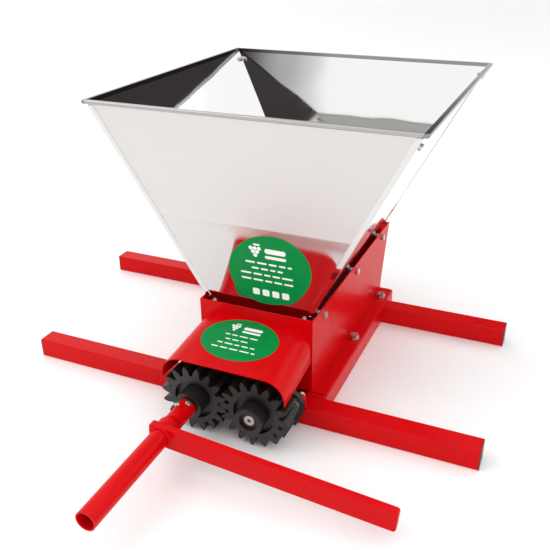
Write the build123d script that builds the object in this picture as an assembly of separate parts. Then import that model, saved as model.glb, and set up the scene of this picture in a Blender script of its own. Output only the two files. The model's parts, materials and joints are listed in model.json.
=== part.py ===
from build123d import *
from math import acos, atan, atan2, cos, pi, radians, sin, sqrt, tan
import os

# Hand-cranked two-roller fruit crusher with a polished hopper.
# Millimetres. +X runs along the front crossbar to the right, +Y runs back, +Z is up.
# The saved parts have their origin in the middle of the underside of the front crossbar.
# While they are built, Y is counted from the front face of that crossbar, and save() moves them.

os.makedirs("parts", exist_ok=True)

# Frame tube
TUBE = 30.0
TUBE_WALL = 2.0
FRONT_BAR_LENGTH = 688.0
REAR_BAR_LEFT_X = -412.0
REAR_BAR_RIGHT_X = 331.0
REAR_BAR_Y = 312.0
RAIL_END_Y = 380.0
RAIL_INNER_HALF = 79.0
CAP_HEAD = 1.0
CAP_INSERT = 12.0
CAP_FIT = 0.3

# Crushing box
BOX_CENTRE_X = 19.0
BOX_HALF = 86.0
SHEET = 1.5
BOX_TOP = 145.0
FRONT_PLATE_Y = 36.0
FRONT_FLANGE_Y = 12.0
FRONT_FLANGE_HALF = 64.0
BOX_BACK_TOP_Y = 417.0
REAR_WALL_Y = 340.5
REAR_WALL_BEND_Z = 80.0
SHAFT_WINDOW = 22.0

# Gear guard
GUARD_FRONT_Y = -70.0
GUARD_FRONT_HALF = 90.0
GUARD_REAR_HALF = 84.0
GUARD_FRONT_TOP = 112.0
GUARD_REAR_TOP = 128.0
GUARD_BOTTOM = 79.0
GUARD_SHOULDER = 29.0

# Rollers, shafts and gears
AXIS_Z = 51.0
CENTRE_DISTANCE = 88.0
SHAFT = 16.0
SHAFT_FIT = 0.06
SHAFT_REAR_Y = 356.0
SHAFT_FRONT_Y = -80.0
CENTRE_DRILL = 5.0
ROLLER_FRONT_Y = 42.0
ROLLER_REAR_Y = 336.0
ROLLER_RADIUS = 39.4
ROLLER_FLUTES = 12
FLUTE_RADIUS = 4.0
TEETH = 16
PRESSURE_ANGLE = 25.0
TIP_FACTOR = 9.0
ROOT_FACTOR = 6.62
BACKLASH = 0.7
GEAR_FRONT_Y = -67.5
GEAR_WIDTH = 34.0
HUB_DIAMETER = 39.0
HUB_FRONT_Y = -84.0
REAR_HUB_Y = -14.0
WEB_GROOVE_OUTER = 29.0
WEB_GROOVE_DEPTH = 7.0
HUB_RECESS = 25.0
HUB_RECESS_DEPTH = 4.0
GEAR_PHASE = 14.6
PIN = 5.0

# Bearing plates
PLATE_THICKNESS = 8.0
PLATE_EAR_HALF = 90.0
PLATE_TOP = 84.0
REAR_PLATE_TOP = 76.0
REAR_PLATE_HALF = 77.0
EAR_BOLT_X = 79.0
EAR_BOLT_Z = 38.0
BAR_BOLT_X = 20.0
LUG_WIDTH = 20.0
LUG_THICKNESS = 6.0
LUG_HEIGHT = 17.0

# Crank
SOCKET_DIAMETER = 25.0
SOCKET_FRONT_Y = -86.0
BOSS_DIAMETER = 31.0
BOSS_FLARE_Y = -122.0
BOSS_START_Y = -129.0
ARM_BACK_Y = -142.0
ARM_THICKNESS = 10.0
ARM_HEIGHT = 30.0
ARM_LENGTH = 321.0
ARM_HUB_OFFSET = 17.0
ARM_TILT = 4.4
ARM_CORNER = 4.0
HANDLE_DIAMETER = 26.0
HANDLE_WALL = 2.0
HANDLE_LENGTH = 151.0
DRIVE_SHAFT_END_Y = -138.0
SCREW_YS = (-93.0, -101.0)
SCREW_ANGLES = (62.0, 110.0)

# Hopper
HOPPER_SHEET = 1.0
HOPPER_TOP = 422.0
HOPPER_BOTTOM = 146.0
HOPPER_TOP_HALF = 220.0
HOPPER_BOTTOM_HALF_X = 78.5
HOPPER_BOTTOM_HALF_Y = 181.5
HOPPER_CENTRE_Y = 229.0
RIM_WIDTH = 6.0
RIM_HEIGHT = 5.0
SKIRT_BOTTOM = 124.0
SKIRT_BACK_Y = 386.0
STRIP_FRONT_LEG = 6.0
STRIP_SIDE_LEG = 12.0
STRIP_GAP = 2.0
STRIP_BOLT_INSET = 6.5
CORNER_BOLT_Z = 404.0
SKIRT_TAB = 18.0
SKIRT_BOLT_X = 69.0
SKIRT_BOLT_Z = 138.0
MOUNT_YS = (80.0, 228.0, 372.0)
MOUNT_Z = 133.0

# Labels
LABEL_THICKNESS = 0.3
GUARD_LABEL = (110.0, 84.0)
GUARD_LABEL_CENTRE = (17.0, -9.0)
HOPPER_LABEL = (125.0, 106.0)
HOPPER_LABEL_CENTRE = (41.0, 207.0)
HOPPER_LABEL_TURN = 28.0

# Fasteners: clearance on a bolt's radius, then the sizes of M5, M6 and M8
BOLT_CLEARANCE = 0.25
M5 = {"d": 5.0, "head": 8.0, "head_h": 3.5, "nut_h": 4.0}
M6 = {"d": 6.0, "head": 10.0, "head_h": 4.0, "nut_h": 5.0}
M8 = {"d": 8.0, "head": 13.0, "head_h": 5.3, "nut_h": 6.5}
RAIL_BOLT_YS = (196.0, 346.0)
RAIL_BOLT_X = 97.0
WASHER = (16.0, 1.6)

# Values that follow from the ones above
MODULE = CENTRE_DISTANCE / TEETH
TIP_RADIUS = TIP_FACTOR * MODULE
ROOT_RADIUS = ROOT_FACTOR * MODULE
PITCH_RADIUS = CENTRE_DISTANCE / 2
DRIVE_X = BOX_CENTRE_X - PITCH_RADIUS
DRIVEN_X = BOX_CENTRE_X + PITCH_RADIUS
RAIL_LEFT_X = BOX_CENTRE_X - RAIL_INNER_HALF - TUBE
RAIL_RIGHT_X = BOX_CENTRE_X + RAIL_INNER_HALF
BOX_INNER_HALF = BOX_HALF - SHEET
BORE = SHAFT + 2 * SHAFT_FIT


def block(x0, x1, y0, y1, z0, z1):
    """Box between the given coordinates."""
    centre = Pos((x0 + x1) / 2, (y0 + y1) / 2, (z0 + z1) / 2)
    return centre * Box(x1 - x0, y1 - y0, z1 - z0)


def rod_y(x, z, radius, y0, y1):
    """Cylinder along Y."""
    return Pos(x, (y0 + y1) / 2, z) * Rot(90, 0, 0) * Cylinder(radius, y1 - y0)


def rod_x(y, z, radius, x0, x1):
    """Cylinder along X."""
    return Pos((x0 + x1) / 2, y, z) * Rot(0, 90, 0) * Cylinder(radius, x1 - x0)


def rod_z(x, y, radius, z0, z1):
    """Cylinder along Z."""
    return Pos(x, y, (z0 + z1) / 2) * Cylinder(radius, z1 - z0)


def group(pieces):
    """Separate solids of one node."""
    return Compound(children=[solid for piece in pieces for solid in piece.solids()])


def save(shape, name):
    """One STEP file per node, its origin under the middle of the front crossbar."""
    export_step(Pos(0, -TUBE / 2, 0) * shape, f"parts/{name}.step")


def xz_plate(points, y0, y1, radius=0.0):
    """Flat plate with its outline in XZ, reaching from y0 to y1."""
    face = make_face(Polyline(*points, close=True))
    if radius:
        face = fillet(face.vertices(), radius)
    plane = Plane((0, y1, 0), x_dir=(1, 0, 0), z_dir=(0, -1, 0))
    return extrude(plane * face, y1 - y0)


def yz_plate(points, x0, x1):
    """Flat plate with its outline in YZ, reaching from x0 to x1."""
    plane = Plane((x0, 0, 0), x_dir=(0, 1, 0), z_dir=(1, 0, 0))
    return extrude(plane * make_face(Polyline(*points, close=True)), x1 - x0)


# ---------------------------------------------------------------- fasteners
def hexagon(across, height, z0):
    """Hexagonal prism with its top rim chamfered."""
    prism = Pos(0, 0, z0) * extrude(RegularPolygon(across / 2, 6, major_radius=False), height)
    trim = Pos(0, 0, z0 + height / 2) * Cylinder(across / 2 * 1.08, height)
    return prism & trim


def hex_bolt(size, length):
    """Bolt along -Z: the head stands on Z = 0, the shank goes down."""
    head = hexagon(size["head"], size["head_h"], 0)
    shank = Pos(0, 0, -length / 2) * Cylinder(size["d"] / 2, length)
    shank = chamfer(shank.edges().group_by(Axis.Z)[0], size["d"] * 0.1)
    return head + shank


def hex_nut(size):
    """Nut from Z = 0 down, its bore the size of the shank."""
    body = hexagon(size["head"], size["nut_h"], -size["nut_h"])
    return body - Cylinder(size["d"] / 2, 4 * size["nut_h"])


def place(piece, origin, direction):
    """Moves a piece built along Z so that its Z runs along the direction."""
    return Plane(origin=origin, z_dir=direction) * piece


# -------------------------------------------------------------------- frame
def tube_x(x0, x1, y0):
    """Square tube along X, front face at y0, underside at Z = 0."""
    outer = block(x0, x1, y0, y0 + TUBE, 0, TUBE)
    outer = fillet(outer.edges().filter_by(Axis.X), 2.0)
    inner = block(x0 - 1, x1 + 1, y0 + TUBE_WALL, y0 + TUBE - TUBE_WALL, TUBE_WALL, TUBE - TUBE_WALL)
    return outer - inner


def tube_y(x0, y0, y1):
    """Square tube along Y, left face at x0, underside at Z = 0."""
    outer = block(x0, x0 + TUBE, y0, y1, 0, TUBE)
    outer = fillet(outer.edges().filter_by(Axis.Y), 2.0)
    inner = block(x0 + TUBE_WALL, x0 + TUBE - TUBE_WALL, y0 - 1, y1 + 1, TUBE_WALL, TUBE - TUBE_WALL)
    return outer - inner


def end_cap(x, y, turn):
    """Push-in cap on the tube end at (x, y), which faces +X turned by the angle: a head and a hollow plug."""
    half = TUBE / 2
    head = block(0, CAP_HEAD, -half, half, 0, TUBE)
    head = fillet(head.edges().filter_by(Axis.X), 2.0)
    edge = TUBE_WALL + CAP_FIT
    plug = block(-CAP_INSERT, 0, edge - half, half - edge, edge, TUBE - edge)
    hollow = edge + 2.0
    pocket = block(-CAP_INSERT - 1, -1, hollow - half, half - hollow, hollow, TUBE - hollow)
    return Pos(x, y, 0) * Rot(0, 0, turn) * (head + plug - pocket)


front_half = FRONT_BAR_LENGTH / 2
front_crossbar = tube_x(-front_half, front_half, 0)
bar_bolt_xs = [BOX_CENTRE_X - BAR_BOLT_X, BOX_CENTRE_X + BAR_BOLT_X]
for x in bar_bolt_xs:
    front_crossbar -= rod_y(x, TUBE / 2, M8["d"] / 2 + BOLT_CLEARANCE, -1, TUBE + 1)
save(front_crossbar, "front_crossbar")

rail_outer_left = RAIL_LEFT_X
rail_outer_right = RAIL_RIGHT_X + TUBE
save(tube_x(REAR_BAR_LEFT_X, rail_outer_left, REAR_BAR_Y), "rear_crossbar_left")
save(tube_x(rail_outer_right, REAR_BAR_RIGHT_X, REAR_BAR_Y), "rear_crossbar_right")

rear_middle_y = REAR_BAR_Y + TUBE / 2
caps = [
    end_cap(-front_half, TUBE / 2, 180),
    end_cap(front_half, TUBE / 2, 0),
    end_cap(REAR_BAR_LEFT_X, rear_middle_y, 180),
    end_cap(REAR_BAR_RIGHT_X, rear_middle_y, 0),
    end_cap(RAIL_LEFT_X + TUBE / 2, RAIL_END_Y, 90),
    end_cap(RAIL_RIGHT_X + TUBE / 2, RAIL_END_Y, 90),
]
save(group(caps), "tube_end_caps")

member_y = RAIL_END_Y - TUBE
cross_member = tube_x(RAIL_LEFT_X + TUBE, RAIL_RIGHT_X, member_y)
for x in bar_bolt_xs:
    cross_member -= rod_y(x, TUBE / 2, M8["d"] / 2 + BOLT_CLEARANCE, member_y - 1, member_y + TUBE + 1)
save(cross_member, "rear_cross_member")

rail_bolt_points = [
    (BOX_CENTRE_X + side * RAIL_BOLT_X, y) for side in (-1, 1) for y in RAIL_BOLT_YS
]
RIVET_NUT = 11.0


def side_rail(x0):
    """Rail with the holes of its rivet nuts in the top wall."""
    rail = tube_y(x0, TUBE, RAIL_END_Y)
    for x, y in rail_bolt_points:
        rail -= rod_z(x, y, RIVET_NUT / 2, TUBE - TUBE_WALL - 1, TUBE + 1)
    return rail


save(side_rail(RAIL_LEFT_X), "side_rail_left")
save(side_rail(RAIL_RIGHT_X), "side_rail_right")

rivet_nuts = []
for x, y in rail_bolt_points:
    sleeve = rod_z(x, y, RIVET_NUT / 2, TUBE - 14, TUBE)
    bulge = rod_z(x, y, RIVET_NUT / 2 + 1.5, TUBE - TUBE_WALL - 4, TUBE - TUBE_WALL)
    rivet_nuts.append(sleeve + bulge - rod_z(x, y, M8["d"] / 2, 0, TUBE + 1))
save(group(rivet_nuts), "rail_rivet_nuts")

flange_top = TUBE + SHEET
washers = [
    rod_z(x, y, WASHER[0] / 2, flange_top, flange_top + WASHER[1])
    - rod_z(x, y, M8["d"] / 2 + BOLT_CLEARANCE, flange_top - 1, flange_top + 3)
    for x, y in rail_bolt_points
]
save(group(washers), "rail_washers")
rail_bolts = [
    Pos(x, y, flange_top + WASHER[1]) * Rot(0, 0, 17) * hex_bolt(M8, 16)
    for x, y in rail_bolt_points
]
save(group(rail_bolts), "rail_bolts")


# ------------------------------------------------------------- crushing box
def side_plate(side):
    """Upright sheet with a flange on the rail, its back edge leaning back."""
    outline = [
        (FRONT_PLATE_Y, TUBE),
        (RAIL_END_Y, TUBE),
        (RAIL_END_Y + 2, TUBE + 16),
        (BOX_BACK_TOP_Y, BOX_TOP),
        (FRONT_PLATE_Y, BOX_TOP),
    ]
    outer = BOX_CENTRE_X + side * BOX_HALF
    inner = BOX_CENTRE_X + side * BOX_INNER_HALF
    web = yz_plate(outline, min(outer, inner), max(outer, inner))
    edge = BOX_CENTRE_X + side * (RAIL_INNER_HALF + TUBE - 1)
    flange_x = sorted((inner, edge))
    flange = block(flange_x[0], flange_x[1], FRONT_PLATE_Y, RAIL_END_Y, TUBE, flange_top)
    corner = flange.edges().filter_by(Axis.Z).group_by(Axis.X)[-1 if side > 0 else 0]
    flange = fillet(corner, 5)
    plate = web + flange
    for x, y in rail_bolt_points:
        plate -= rod_z(x, y, M8["d"] / 2 + BOLT_CLEARANCE, TUBE - 1, flange_top + 1)
    for y in MOUNT_YS:
        plate -= rod_x(y, MOUNT_Z, M6["d"] / 2 + BOLT_CLEARANCE, min(outer, inner) - 1, max(outer, inner) + 1)
    return plate


save(side_plate(-1), "side_plate_left")
save(side_plate(1), "side_plate_right")

box_left = BOX_CENTRE_X - BOX_INNER_HALF
box_right = BOX_CENTRE_X + BOX_INNER_HALF
front_back_y = FRONT_PLATE_Y + SHEET
front_plate = block(box_left, box_right, FRONT_PLATE_Y, front_back_y, TUBE, BOX_TOP)
front_plate += block(
    BOX_CENTRE_X - FRONT_FLANGE_HALF,
    BOX_CENTRE_X + FRONT_FLANGE_HALF,
    FRONT_FLANGE_Y,
    FRONT_PLATE_Y,
    TUBE,
    flange_top,
)
for x in (DRIVE_X, DRIVEN_X):
    front_plate -= rod_y(x, AXIS_Z, SHAFT_WINDOW / 2, FRONT_FLANGE_Y - 1, front_back_y + 1)
save(front_plate, "front_plate")

slope_end_y = BOX_BACK_TOP_Y - 2
rear_wall_back = REAR_WALL_Y + SHEET
slope = atan2(BOX_TOP - REAR_WALL_BEND_Z, slope_end_y - rear_wall_back)
rise = SHEET / cos(slope)
rear_outline = [
    (REAR_WALL_Y, TUBE),
    (rear_wall_back, TUBE),
    (rear_wall_back, REAR_WALL_BEND_Z),
    (slope_end_y, BOX_TOP),
    (slope_end_y - SHEET / sin(slope), BOX_TOP),
    (REAR_WALL_Y, REAR_WALL_BEND_Z + rise - SHEET * tan(slope)),
]
rear_plate = yz_plate(rear_outline, box_left, box_right)
for x in (DRIVE_X, DRIVEN_X):
    rear_plate -= rod_y(x, AXIS_Z, SHAFT_WINDOW / 2, REAR_WALL_Y - 1, rear_wall_back + 1)
save(rear_plate, "rear_plate")


# --------------------------------------------------------------- gear guard
def arch_face(y, half, top, bottom, shoulder):
    """Arch outline in the plane of the given y: flat top and round shoulders."""
    left = BOX_CENTRE_X - half
    right = BOX_CENTRE_X + half
    lip = top - shoulder
    k = shoulder * (1 - sqrt(0.5))
    path = [
        Line((left, bottom), (left, lip)),
        ThreePointArc((left, lip), (left + k, top - k), (left + shoulder, top)),
        Line((left + shoulder, top), (right - shoulder, top)),
        ThreePointArc((right - shoulder, top), (right - k, top - k), (right, lip)),
        Line((right, lip), (right, bottom)),
        Line((right, bottom), (left, bottom)),
    ]
    plane = Plane((0, y, 0), x_dir=(1, 0, 0), z_dir=(0, -1, 0))
    return plane * make_face(Wire(path))


def arch_solid(inset, drop):
    """Arch between the front and rear outlines, inset from the outer skin."""
    front = arch_face(
        GUARD_FRONT_Y,
        GUARD_FRONT_HALF - inset,
        GUARD_FRONT_TOP - inset,
        GUARD_BOTTOM - drop,
        GUARD_SHOULDER - inset,
    )
    rear = arch_face(
        FRONT_PLATE_Y,
        GUARD_REAR_HALF - inset,
        GUARD_REAR_TOP - inset,
        GUARD_BOTTOM - drop,
        GUARD_SHOULDER - inset,
    )
    return loft([front, rear], ruled=True)


save(arch_solid(0, 0) - arch_solid(SHEET, 5), "gear_guard")

# ----------------------------------------------------------- bearing plates
lugs = []
for side in (-1, 1):
    centre = BOX_CENTRE_X + side * EAR_BOLT_X
    lug = block(centre - LUG_WIDTH / 2, centre + LUG_WIDTH / 2, 0, LUG_THICKNESS, TUBE, TUBE + LUG_HEIGHT)
    lug = fillet(lug.edges().filter_by(Axis.Y).group_by(Axis.Z)[-1], 6)
    lugs.append(lug - rod_y(centre, EAR_BOLT_Z, M8["d"] / 2 + BOLT_CLEARANCE, -1, LUG_THICKNESS + 1))
save(group(lugs), "bearing_lugs")


def mirrored(points):
    """Closed outline from its right half, about the middle of the box."""
    right = [(BOX_CENTRE_X + x, z) for x, z in points]
    left = [(BOX_CENTRE_X - x, z) for x, z in reversed(points)]
    return right + left


front_outline = mirrored([(58, PLATE_TOP), (70, 60), (84, 49), (PLATE_EAR_HALF, 42), (PLATE_EAR_HALF, 26), (80, 2)])
front_bearing = xz_plate(front_outline, -PLATE_THICKNESS, 0, 3.0)
for x in (DRIVE_X, DRIVEN_X):
    front_bearing -= rod_y(x, AXIS_Z, BORE / 2, -PLATE_THICKNESS - 1, 1)
for side in (-1, 1):
    front_bearing -= rod_y(
        BOX_CENTRE_X + side * EAR_BOLT_X,
        EAR_BOLT_Z,
        M8["d"] / 2 + BOLT_CLEARANCE,
        -PLATE_THICKNESS - 1,
        1,
    )
for x in bar_bolt_xs:
    front_bearing -= rod_y(x, TUBE / 2, M8["d"] / 2 + BOLT_CLEARANCE, -PLATE_THICKNESS - 1, 1)
save(front_bearing, "bearing_plate_front")

rear_bearing_y = member_y - PLATE_THICKNESS
rear_profile = mirrored([(REAR_PLATE_HALF, REAR_PLATE_TOP), (REAR_PLATE_HALF, 2)])
rear_bearing = xz_plate(rear_profile, rear_bearing_y, member_y, 4.0)
for x in (DRIVE_X, DRIVEN_X):
    rear_bearing -= rod_y(x, AXIS_Z, BORE / 2, rear_bearing_y - 1, member_y + 1)
for x in bar_bolt_xs:
    rear_bearing -= rod_y(x, TUBE / 2, M8["d"] / 2 + BOLT_CLEARANCE, rear_bearing_y - 1, member_y + 1)
save(rear_bearing, "bearing_plate_rear")

ear_bolts = []
ear_nuts = []
for side in (-1, 1):
    x = BOX_CENTRE_X + side * EAR_BOLT_X
    ear_bolts.append(place(hex_bolt(M8, 26), (x, -PLATE_THICKNESS, EAR_BOLT_Z), (0, -1, 0)))
    ear_nuts.append(place(hex_nut(M8), (x, LUG_THICKNESS, EAR_BOLT_Z), (0, -1, 0)))
save(group(ear_bolts), "bearing_ear_bolts")
save(group(ear_nuts), "bearing_ear_nuts")

bar_bolts = []
bar_nuts = []
for x in bar_bolt_xs:
    bar_bolts.append(place(hex_bolt(M8, 48), (x, -PLATE_THICKNESS, TUBE / 2), (0, -1, 0)))
    bar_nuts.append(place(hex_nut(M8), (x, TUBE, TUBE / 2), (0, -1, 0)))
    bar_bolts.append(place(hex_bolt(M8, 48), (x, rear_bearing_y, TUBE / 2), (0, -1, 0)))
    bar_nuts.append(place(hex_nut(M8), (x, member_y + TUBE, TUBE / 2), (0, -1, 0)))
save(group(bar_bolts), "bearing_bar_bolts")
save(group(bar_nuts), "bearing_bar_nuts")


# ------------------------------------------------------------ roller drive
def involute(angle):
    """Involute of an angle in radians."""
    return tan(angle) - angle


def gear_outline(phase):
    """Tooth outline about the origin, with a tooth centred on the phase in degrees."""
    base = PITCH_RADIUS * cos(radians(PRESSURE_ANGLE))
    half_pitch_tooth = (pi * MODULE / 2 - BACKLASH) / 2 / PITCH_RADIUS
    at_pitch = involute(radians(PRESSURE_ANGLE))
    steps = 7
    radii = [base + (TIP_RADIUS - base) * i / steps for i in range(steps + 1)]
    flank = [(r, half_pitch_tooth + at_pitch - involute(acos(min(1.0, base / r)))) for r in radii]
    root_angle = flank[0][1] + 0.012
    points = []
    for tooth in range(TEETH):
        middle = radians(phase) + 2 * pi * tooth / TEETH
        lower = [(ROOT_RADIUS, -root_angle)] + [(r, -a) for r, a in flank]
        upper = [(r, a) for r, a in reversed(flank)] + [(ROOT_RADIUS, root_angle)]
        for r, a in lower + upper:
            points.append((r * cos(middle + a), r * sin(middle + a)))
    return points


def gear(x, phase):
    """Spur gear with a long front hub, a web groove and a rear hub."""
    outline = [(x + px, AXIS_Z + pz) for px, pz in gear_outline(phase)]
    body = xz_plate(outline, GEAR_FRONT_Y, GEAR_FRONT_Y + GEAR_WIDTH)
    groove = rod_y(x, AXIS_Z, WEB_GROOVE_OUTER, GEAR_FRONT_Y - 1, GEAR_FRONT_Y + WEB_GROOVE_DEPTH)
    body -= groove
    body += rod_y(x, AXIS_Z, HUB_DIAMETER / 2, HUB_FRONT_Y, GEAR_FRONT_Y + GEAR_WIDTH)
    body += rod_y(x, AXIS_Z, HUB_DIAMETER / 2 - 4, GEAR_FRONT_Y + GEAR_WIDTH, REAR_HUB_Y)
    body -= rod_y(x, AXIS_Z, HUB_RECESS / 2, HUB_FRONT_Y - 1, HUB_FRONT_Y + HUB_RECESS_DEPTH)
    body -= rod_y(x, AXIS_Z, SHAFT / 2, HUB_FRONT_Y - 1, REAR_HUB_Y + 1)
    pin_y = (GEAR_FRONT_Y + GEAR_WIDTH + REAR_HUB_Y) / 2
    return body - rod_z(x, pin_y, PIN / 2, AXIS_Z - 40, AXIS_Z + 40)


def roller(x, phase):
    """Fluted roller with a through bore."""
    middle = (ROLLER_FRONT_Y + ROLLER_REAR_Y) / 2
    body = rod_y(x, AXIS_Z, ROLLER_RADIUS, ROLLER_FRONT_Y, ROLLER_REAR_Y)
    for i in range(ROLLER_FLUTES):
        a = radians(phase) + 2 * pi * i / ROLLER_FLUTES
        reach = ROLLER_RADIUS + FLUTE_RADIUS * 0.35
        body -= rod_y(
            x + reach * cos(a),
            AXIS_Z + reach * sin(a),
            FLUTE_RADIUS,
            ROLLER_FRONT_Y - 1,
            ROLLER_REAR_Y + 1,
        )
    return body - rod_y(x, AXIS_Z, SHAFT / 2, ROLLER_FRONT_Y - 1, ROLLER_REAR_Y + 1)


def shaft(x, front_y):
    """Round shaft with a centre drilling and the holes of its pins."""
    bar = rod_y(x, AXIS_Z, SHAFT / 2, front_y, SHAFT_REAR_Y)
    bar = chamfer(bar.edges().filter_by(GeomType.CIRCLE), 0.8)
    bar -= rod_y(x, AXIS_Z, CENTRE_DRILL / 2, front_y - 1, front_y + 5)
    pin_y = (GEAR_FRONT_Y + GEAR_WIDTH + REAR_HUB_Y) / 2
    return bar - rod_z(x, pin_y, PIN / 2, AXIS_Z - 40, AXIS_Z + 40)


half_pitch = 360 / TEETH / 2
flute_pitch = 360 / ROLLER_FLUTES
save(gear(DRIVE_X, GEAR_PHASE), "drive_gear")
save(gear(DRIVEN_X, half_pitch - GEAR_PHASE), "driven_gear")
save(roller(DRIVE_X, 0), "drive_roller")
save(roller(DRIVEN_X, flute_pitch / 2), "driven_roller")
save(shaft(DRIVE_X, DRIVE_SHAFT_END_Y), "drive_shaft")
save(shaft(DRIVEN_X, SHAFT_FRONT_Y), "driven_shaft")
for name, x in (("drive", DRIVE_X), ("driven", DRIVEN_X)):
    pin_y = (GEAR_FRONT_Y + GEAR_WIDTH + REAR_HUB_Y) / 2
    length = HUB_DIAMETER / 2 - 4.5
    save(rod_z(x, pin_y, PIN / 2, AXIS_Z - length, AXIS_Z + length), f"{name}_gear_pin")

# -------------------------------------------------------------------- crank
socket_profile = [
    (0, SOCKET_FRONT_Y),
    (SOCKET_DIAMETER / 2, SOCKET_FRONT_Y),
    (SOCKET_DIAMETER / 2, BOSS_FLARE_Y),
    (BOSS_DIAMETER / 2 - 1, BOSS_START_Y),
    (BOSS_DIAMETER / 2, BOSS_START_Y - 2),
    (BOSS_DIAMETER / 2, ARM_BACK_Y),
    (0, ARM_BACK_Y),
]
socket = Pos(DRIVE_X, 0, AXIS_Z) * revolve(make_face(Polyline(*socket_profile, close=True)), Axis.Y)
socket -= rod_y(DRIVE_X, AXIS_Z, SHAFT / 2, DRIVE_SHAFT_END_Y, SOCKET_FRONT_Y + 1)
screws = []
for y, angle in zip(SCREW_YS, SCREW_ANGLES):
    out = (cos(radians(angle)), 0, sin(radians(angle)))
    seat = SOCKET_DIAMETER / 2
    origin = (DRIVE_X + seat * out[0], y, AXIS_Z + seat * out[2])
    depth = seat - SHAFT / 2 - 0.15
    socket -= place(Pos(0, 0, -depth / 2) * Cylinder(M5["d"] / 2, depth + 4), origin, out)
    shank = Pos(0, 0, 1 - depth / 2) * Cylinder(M5["d"] / 2, depth + 2)
    head = Pos(0, 0, 1.2 + 1.5) * Cylinder(3.8, 3.0)
    head = fillet(head.edges().group_by(Axis.Z)[-1], 1.0)
    drive = Pos(0, 0, 4.2) * extrude(RegularPolygon(1.6, 6), -1.8)
    screws.append(place(shank + head - drive, origin, out))
save(socket, "crank_socket")
save(group(screws), "crank_screws")

tilt = Pos(DRIVE_X, 0, AXIS_Z) * Rot(0, ARM_TILT, 0)
arm = block(
    -ARM_HUB_OFFSET,
    ARM_LENGTH - ARM_HUB_OFFSET,
    ARM_BACK_Y - ARM_THICKNESS,
    ARM_BACK_Y,
    -ARM_HEIGHT / 2,
    ARM_HEIGHT / 2,
)
arm = fillet(arm.edges().filter_by(Axis.Y), ARM_CORNER)
arm = fillet(arm.edges().filter_by(Axis.X), 1.2)
save(tilt * arm, "crank_arm")

handle_y = ARM_BACK_Y - ARM_THICKNESS
handle = rod_y(DRIVE_X, AXIS_Z, HANDLE_DIAMETER / 2, handle_y - HANDLE_LENGTH, handle_y)
handle -= rod_y(
    DRIVE_X, AXIS_Z, HANDLE_DIAMETER / 2 - HANDLE_WALL, handle_y - HANDLE_LENGTH - 1, handle_y + 1
)
save(handle, "handle_tube")

# ------------------------------------------------------------------- hopper
SLOPE_X = atan((HOPPER_TOP_HALF - HOPPER_BOTTOM_HALF_X) / (HOPPER_TOP - HOPPER_BOTTOM))
SLOPE_Y = atan((HOPPER_TOP_HALF - HOPPER_BOTTOM_HALF_Y) / (HOPPER_TOP - HOPPER_BOTTOM))
BIG = 600.0


def funnel(offset_x, offset_y, z0=HOPPER_BOTTOM, z1=HOPPER_TOP, wide_x=0, wide_y=0):
    """Solid inside the four slopes, moved out by the offsets square to each slope."""
    faces = []
    for z in (z0, z1):
        half_x = HOPPER_BOTTOM_HALF_X + (z - HOPPER_BOTTOM) * tan(SLOPE_X) + offset_x / cos(SLOPE_X)
        half_y = HOPPER_BOTTOM_HALF_Y + (z - HOPPER_BOTTOM) * tan(SLOPE_Y) + offset_y / cos(SLOPE_Y)
        size = Rectangle(2 * (wide_x or half_x), 2 * (wide_y or half_y))
        faces.append(Pos(BOX_CENTRE_X, HOPPER_CENTRE_Y, z) * size)
    return loft(faces, ruled=True)


rim = Pos(BOX_CENTRE_X, HOPPER_CENTRE_Y, HOPPER_TOP - RIM_HEIGHT / 2) * Box(
    2 * (HOPPER_TOP_HALF + RIM_WIDTH), 2 * (HOPPER_TOP_HALF + RIM_WIDTH), RIM_HEIGHT
)
rim = fillet(rim.edges().filter_by(Axis.Z), 4.0)
rim = fillet(rim.edges().group_by(Axis.Z)[-1] + rim.edges().group_by(Axis.Z)[0], 1.8)
inside = funnel(0, 0, HOPPER_BOTTOM - 1, HOPPER_TOP + 1)
walls = funnel(HOPPER_SHEET, HOPPER_SHEET) + rim - inside
slab = funnel(0, 0, HOPPER_BOTTOM - 2, HOPPER_TOP + 2, wide_y=BIG)
fronts = (walls & slab).solids().sort_by(Axis.Y)
sides = (walls - slab).solids().sort_by(Axis.X)

# Corner strips lie on the panels, and their bolts go through near the top and the bottom
skin = funnel(2 * HOPPER_SHEET, 2 * HOPPER_SHEET) - funnel(HOPPER_SHEET, HOPPER_SHEET)
keep_x = funnel(HOPPER_SHEET - STRIP_FRONT_LEG, 0, HOPPER_BOTTOM - 2, HOPPER_TOP + 2, wide_y=BIG)
keep_y = funnel(0, HOPPER_SHEET - STRIP_SIDE_LEG, HOPPER_BOTTOM - 2, HOPPER_TOP + 2, wide_x=BIG)
strip_top = HOPPER_TOP - RIM_HEIGHT - STRIP_GAP
band = block(-BIG, BIG, -BIG, 2 * BIG, HOPPER_BOTTOM + STRIP_GAP, strip_top)
strips = ((skin - keep_x - keep_y) & band).solids()


def side_wall_point(side_x, side_y, z):
    """Point on the outer face of a strip's leg on a side panel, and the way out from it."""
    rise_z = z - HOPPER_BOTTOM
    half_x = HOPPER_BOTTOM_HALF_X + rise_z * tan(SLOPE_X)
    half_y = HOPPER_BOTTOM_HALF_Y + rise_z * tan(SLOPE_Y)
    at_x = BOX_CENTRE_X + side_x * (half_x + 2 * HOPPER_SHEET / cos(SLOPE_X))
    at_y = HOPPER_CENTRE_Y + side_y * (half_y - STRIP_BOLT_INSET)
    return (at_x, at_y, z), (side_x * cos(SLOPE_X), 0, -sin(SLOPE_X))


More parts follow.
